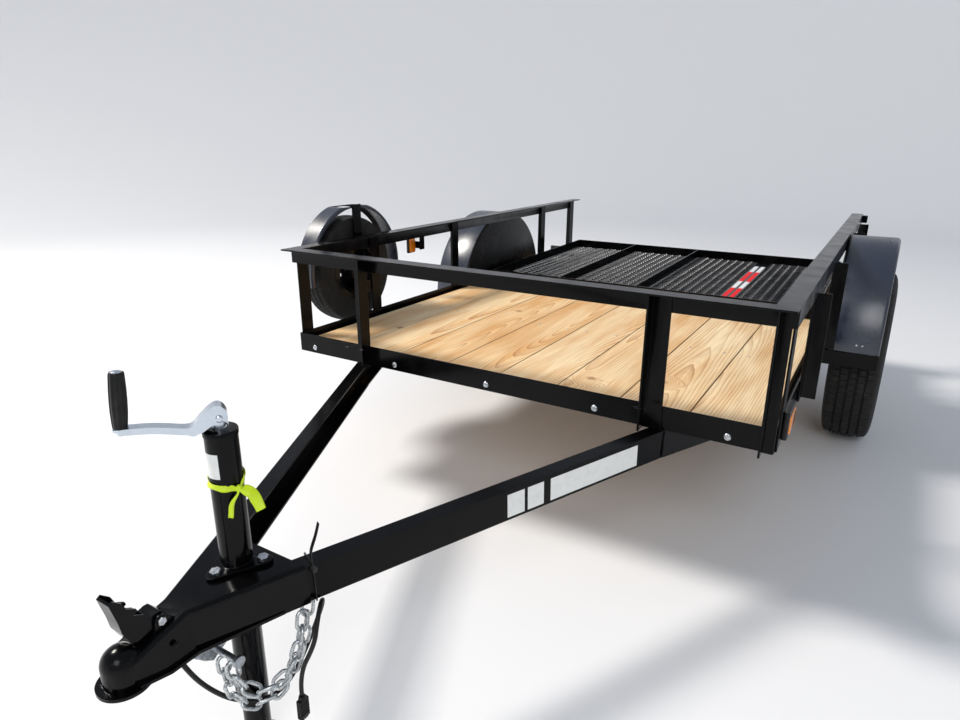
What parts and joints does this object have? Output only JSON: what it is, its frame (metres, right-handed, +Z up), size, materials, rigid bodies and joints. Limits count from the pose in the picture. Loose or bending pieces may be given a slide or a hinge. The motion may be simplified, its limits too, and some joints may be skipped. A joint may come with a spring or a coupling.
{
  "type": "utility trailer",
  "caption": "Open single-axle utility trailer with a wooden deck, angle-iron rails, folded mesh ramp gate, V tongue with ball coupler and jack, round fenders and a side-mounted spare.",
  "frame": {"origin": "on the ground at the centre of the trailer's footprint", "axes": "+X towards the road side (image right), -Y towards the coupler, +Z up"},
  "size_m": [1.946, 3.4853, 0.931],
  "materials": {
    "spring_steel": "black painted spring steel",
    "black_enamel": "semi-gloss black enamel",
    "zinc_plate": "bright zinc plating",
    "pine": "planed treated pine",
    "cable_jacket": "black cable jacket",
    "grip_rubber": "ribbed black grip",
    "jack_enamel": "gloss black powder coat",
    "amber_lens": "amber lens",
    "wheel_paint": "satin black wheel paint",
    "tyre_rubber": "matt tyre rubber",
    "red_lens": "red lens"
  },
  "bodies": {
    "chassis": {"axle_beam": "spring_steel", "axle_clamps": "spring_steel", "bed_frame": "black_enamel", "chain_bracket": "zinc_plate", "coupler": "black_enamel", "cross_angles": "black_enamel", "deck_boards": "pine", "fender_brackets": "black_enamel", "fender_curbside": "black_enamel", "fender_roadside": "black_enamel", "front_posts": "black_enamel", "gate_hinge_tubes": "black_enamel", "gate_latches": "black_enamel", "harness_cable": "cable_jacket", "harness_plug": "cable_jacket", "jack_crank": "zinc_plate", "jack_grip": "grip_rubber", "jack_tube": "jack_enamel", "lamp_brackets": "black_enamel", "leaf_spring_curbside": "spring_steel", "leaf_spring_roadside": "spring_steel", "marker_lamps": "amber_lens", "safety_chains": "zinc_plate", "side_posts": "black_enamel", "spare_carrier": "black_enamel", "spare_guard": "black_enamel", "spare_rim": "wheel_paint", "spare_tyre": "tyre_rubber", "spring_hangers": "black_enamel", "tail_lamps": "red_lens", "tongue_beam_curbside": "black_enamel", "tongue_beam_roadside": "black_enamel", "top_rail": "black_enamel"},
    "gate": {"gate_frame": "black_enamel", "gate_mesh": "black_enamel", "gate_pins": "black_enamel"},
    "wheel_roadside": {"tyre_roadside": "tyre_rubber", "rim_roadside": "wheel_paint", "hub_roadside": "spring_steel"},
    "wheel_curbside": {"tyre_curbside": "tyre_rubber", "rim_curbside": "wheel_paint", "hub_curbside": "spring_steel"},
    "latch": {"coupler_latch": "black_enamel"},
    "jack_inner": {"jack_leg": "jack_enamel"}
  },
  "joints": [
    {"name": "gate_hinge", "type": "hinge", "parent": "chassis", "child": "gate", "pos_m": [0, 1.73, 0.513], "axis": [-1, 0, 0], "range_deg": [0, 202]},
    {"name": "wheel_roadside_spin", "type": "hinge", "parent": "chassis", "child": "wheel_roadside", "pos_m": [0.883, 0.891, 0.34], "axis": [1, 0, 0], "continuous": true},
    {"name": "wheel_curbside_spin", "type": "hinge", "parent": "chassis", "child": "wheel_curbside", "pos_m": [-0.883, 0.891, 0.34], "axis": [1, 0, 0], "continuous": true},
    {"name": "latch_pivot", "type": "hinge", "parent": "chassis", "child": "latch", "pos_m": [0, -1.63738, 0.42663], "axis": [-1, 0, 0], "range_deg": [0, 78]},
    {"name": "jack_slide", "type": "slide", "parent": "chassis", "child": "jack_inner", "axis": [0, 0, 1], "range_m": [0, 0.125]}
  ]
}
